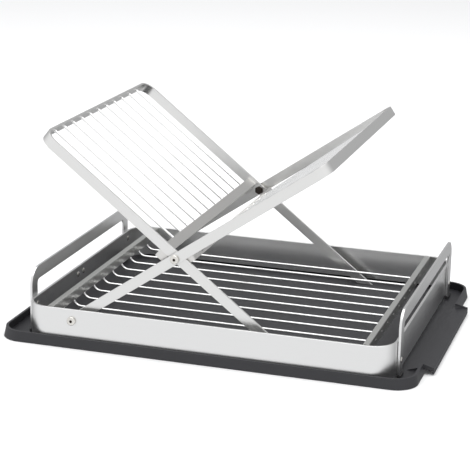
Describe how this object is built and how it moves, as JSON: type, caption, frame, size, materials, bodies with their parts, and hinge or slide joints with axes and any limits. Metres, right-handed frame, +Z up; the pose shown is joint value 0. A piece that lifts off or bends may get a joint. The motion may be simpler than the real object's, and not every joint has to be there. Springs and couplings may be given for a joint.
{
  "type": "folding dish rack",
  "caption": "Countertop dish rack: flat-bar ring with a wire grid and carrying handles, crossed folding plate frames, and a drip tray with a spout.",
  "frame": {"origin": "centre of the whole part's bounding box, on the table top", "axes": "+X along the rack towards the tray's spout, +Y towards the back, +Z up"},
  "size_m": [0.51, 0.377, 0.2503],
  "materials": {
    "tray_plastic": "satin",
    "foot_rubber": "matte",
    "fastener_steel": "satin",
    "handle_steel": "satin",
    "ledge_steel": "satin",
    "ring_steel": "satin",
    "frame_steel": "satin",
    "grid_wire": "polished",
    "rod_wire": "polished"
  },
  "bodies": {
    "tray": {"tray": "tray_plastic"},
    "rack": {"foot_screw_back": "fastener_steel", "foot_screw_front": "fastener_steel", "foot_spacer_back": "fastener_steel", "foot_spacer_front": "fastener_steel", "grid_wire_01": "grid_wire", "grid_wire_02": "grid_wire", "grid_wire_03": "grid_wire", "grid_wire_04": "grid_wire", "grid_wire_05": "grid_wire", "grid_wire_06": "grid_wire", "grid_wire_07": "grid_wire", "grid_wire_08": "grid_wire", "grid_wire_09": "grid_wire", "grid_wire_10": "grid_wire", "handle_left": "handle_steel", "handle_right": "handle_steel", "handle_rivet_left_back": "fastener_steel", "handle_rivet_left_front": "fastener_steel", "handle_rivet_right_back": "fastener_steel", "handle_rivet_right_front": "fastener_steel", "ledge_left": "ledge_steel", "ledge_right": "ledge_steel", "ring": "ring_steel", "rubber_foot_left_back": "foot_rubber", "rubber_foot_left_front": "foot_rubber", "rubber_foot_right_back": "foot_rubber", "rubber_foot_right_front": "foot_rubber", "seam_rivet_back": "fastener_steel", "seam_rivet_front": "fastener_steel"},
    "frame_b": {"crossbar_b": "frame_steel", "frame_b": "frame_steel", "pivot_screw_back": "fastener_steel", "pivot_screw_front": "fastener_steel", "pivot_spacer_back": "fastener_steel", "pivot_spacer_front": "fastener_steel", "rod_b_01": "rod_wire", "rod_b_02": "rod_wire", "rod_b_03": "rod_wire", "rod_b_04": "rod_wire", "rod_b_05": "rod_wire", "rod_b_06": "rod_wire", "rod_b_07": "rod_wire", "rod_b_08": "rod_wire", "rod_b_09": "rod_wire", "rod_b_10": "rod_wire", "rod_b_11": "rod_wire"},
    "frame_a": {"crossbar_a": "frame_steel", "frame_a": "frame_steel", "rod_a_01": "rod_wire", "rod_a_02": "rod_wire", "rod_a_03": "rod_wire", "rod_a_04": "rod_wire", "rod_a_05": "rod_wire", "rod_a_06": "rod_wire", "rod_a_07": "rod_wire", "rod_a_08": "rod_wire", "rod_a_09": "rod_wire", "rod_a_10": "rod_wire", "rod_a_11": "rod_wire"}
  },
  "joints": [
    {"name": "rack_lift", "type": "slide", "parent": "tray", "child": "rack", "axis": [0, 0, 1], "range_m": [0, 0.12]},
    {"name": "frame_b_fold", "type": "hinge", "parent": "rack", "child": "frame_b", "pos_m": [-0.1618, 0, 0.0316], "axis": [0, 1, 0], "range_deg": [0, 31.4]},
    {"name": "frame_a_fold", "type": "hinge", "parent": "frame_b", "child": "frame_a", "pos_m": [-0.03879, 0, 0.11709], "axis": [0, 1, 0], "range_deg": [-65.5, 0]}
  ],
  "couplings": [
    {"joint": "frame_a_fold", "follows": "frame_b_fold", "ratio": -2.0859}
  ]
}
